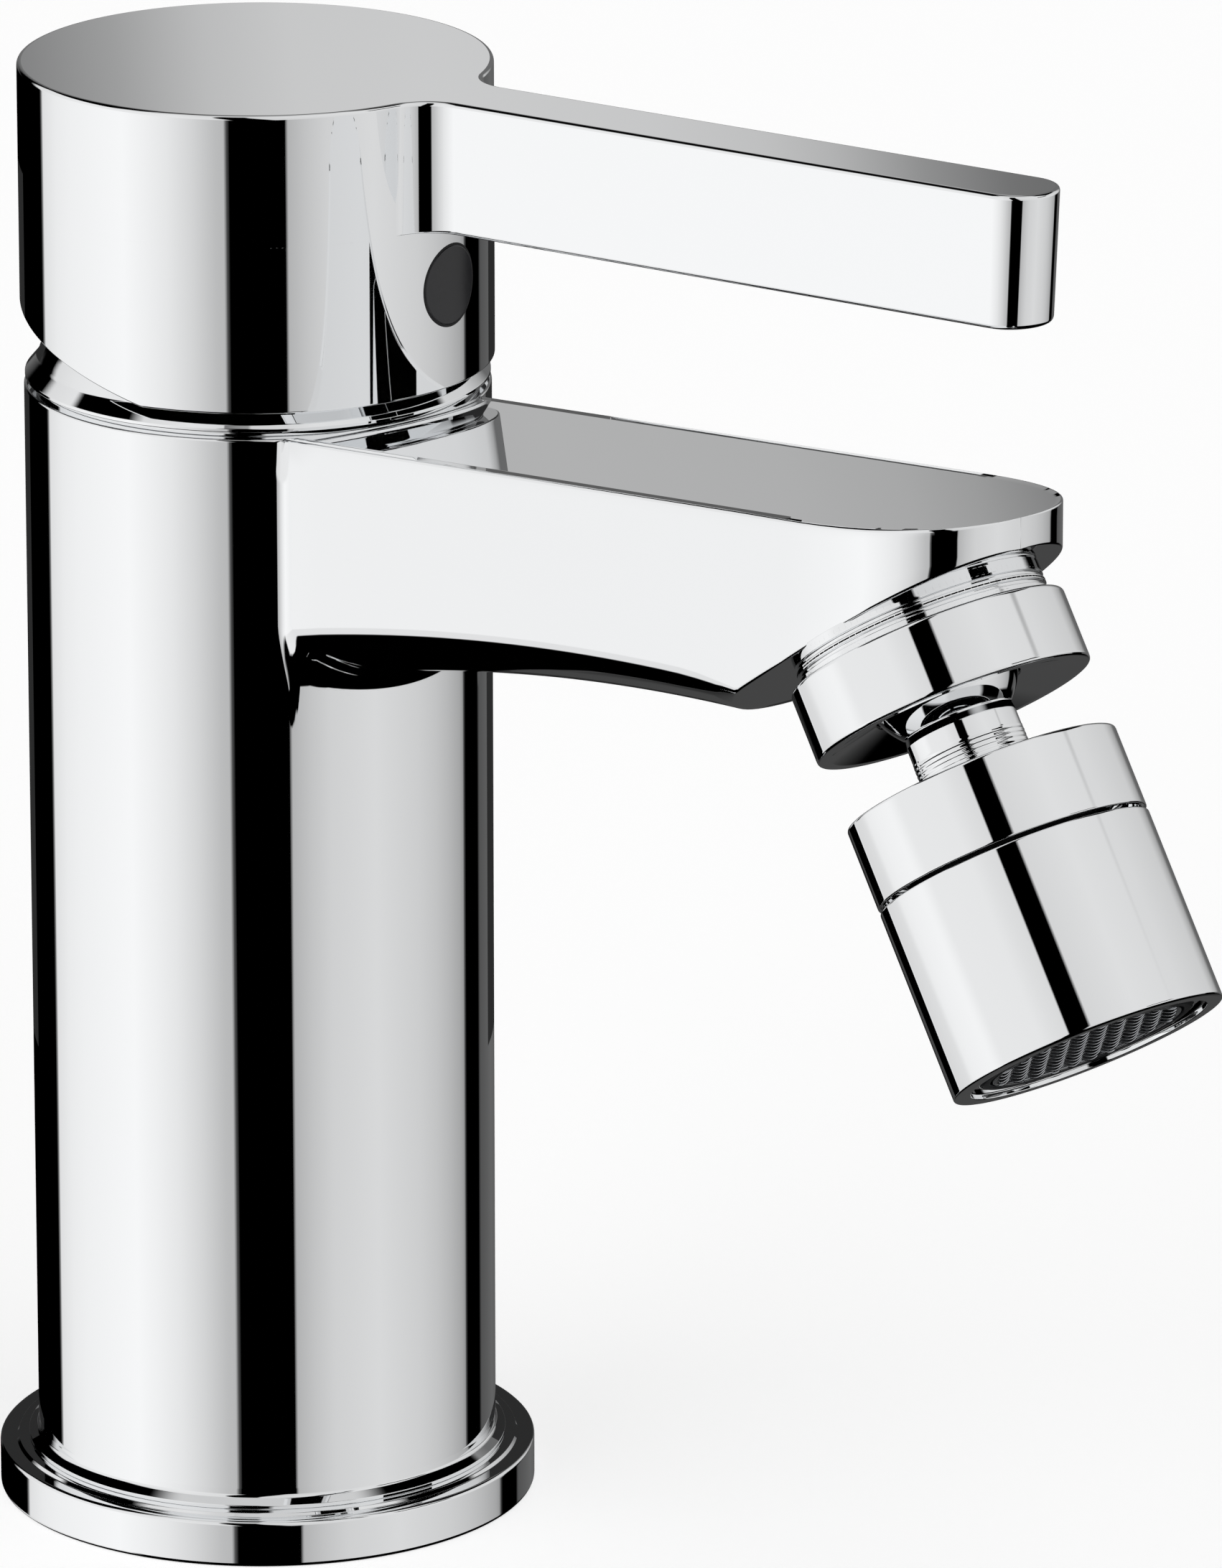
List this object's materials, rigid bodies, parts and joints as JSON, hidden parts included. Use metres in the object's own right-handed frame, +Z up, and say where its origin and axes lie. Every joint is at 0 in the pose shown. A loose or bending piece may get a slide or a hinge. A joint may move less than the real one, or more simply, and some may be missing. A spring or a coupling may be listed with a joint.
{
  "type": "bidet mixer",
  "caption": "Single-lever bidet mixer: round chromed body, flat bar lever on a deep cap, flat-topped rising spout, swivelling aerator on a ball joint",
  "frame": {"origin": "on the axis of the round body, at the level of the deck that the mixer stands on", "axes": "+Z up along the body, +X along the spout towards its tip, +Y to the left of the spout seen from behind"},
  "size_m": [0.1603, 0.0546, 0.147],
  "materials": {
    "chromed_brass": "mirror-bright chrome plate",
    "chromed_zinc": "mirror-bright chrome plate",
    "brass": "as turned",
    "steel": "bright",
    "steel_mesh": "woven wire",
    "rubber": "matt",
    "white_ceramic": "lapped",
    "pale_plastic": "moulded",
    "grey_plastic": "moulded",
    "dark_plastic": "moulded"
  },
  "bodies": {
    "body": {"mixer_body": "chromed_brass", "base_flange": "chromed_brass", "base_seal": "rubber", "cartridge_base": "pale_plastic", "port_seals": "rubber", "disc_seals": "rubber", "fixed_disc": "white_ceramic", "cartridge_housing": "pale_plastic", "housing_seal": "rubber", "cartridge_nut": "brass", "cover_ring": "chromed_brass", "adapter_washer": "rubber", "outlet_adapter": "chromed_brass", "joint_collar": "chromed_brass", "seat_seal": "rubber"},
    "turret": {"turret": "pale_plastic", "turret_seal": "rubber", "pivot_pin": "steel"},
    "lever": {"stem": "brass", "handle": "chromed_zinc", "handle_screw": "steel", "screw_plug": "dark_plastic"},
    "disc": {"moving_disc": "white_ceramic", "disc_carrier": "pale_plastic"},
    "seat": {"ball_seat": "pale_plastic"},
    "nozzle": {"ball_stem": "chromed_brass", "aerator_cap": "chromed_brass", "aerator_washer": "rubber", "aerator_shell": "chromed_brass", "aerator_insert": "grey_plastic", "aerator_diffuser": "grey_plastic", "aerator_mesh": "steel_mesh"}
  },
  "joints": [
    {"name": "handle_turn", "type": "hinge", "parent": "body", "child": "turret", "pos_m": [0, 0, 0.1185], "axis": [0, 0, 1], "range_deg": [-65.5, 34.5]},
    {"name": "handle_lift", "type": "hinge", "parent": "turret", "child": "lever", "pos_m": [0, 0, 0.1185], "axis": [0.2672, -0.9636, 0], "range_deg": [0, 18]},
    {"name": "disc_slide", "type": "slide", "parent": "turret", "child": "disc", "axis": [0.9636, 0.2672, 0], "range_m": [0, 0.00462]},
    {"name": "outlet_turn", "type": "hinge", "parent": "body", "child": "seat", "pos_m": [0.10098, 0, 0.10793], "axis": [0.5592, 0, -0.829], "continuous": true},
    {"name": "outlet_tilt", "type": "hinge", "parent": "seat", "child": "nozzle", "pos_m": [0.10098, 0, 0.10793], "axis": [0, 1, 0], "range_deg": [-16, 16]}
  ],
  "couplings": [
    {"joint": "disc_slide", "follows": "handle_lift", "m_per_rad": 0.0147}
  ]
}
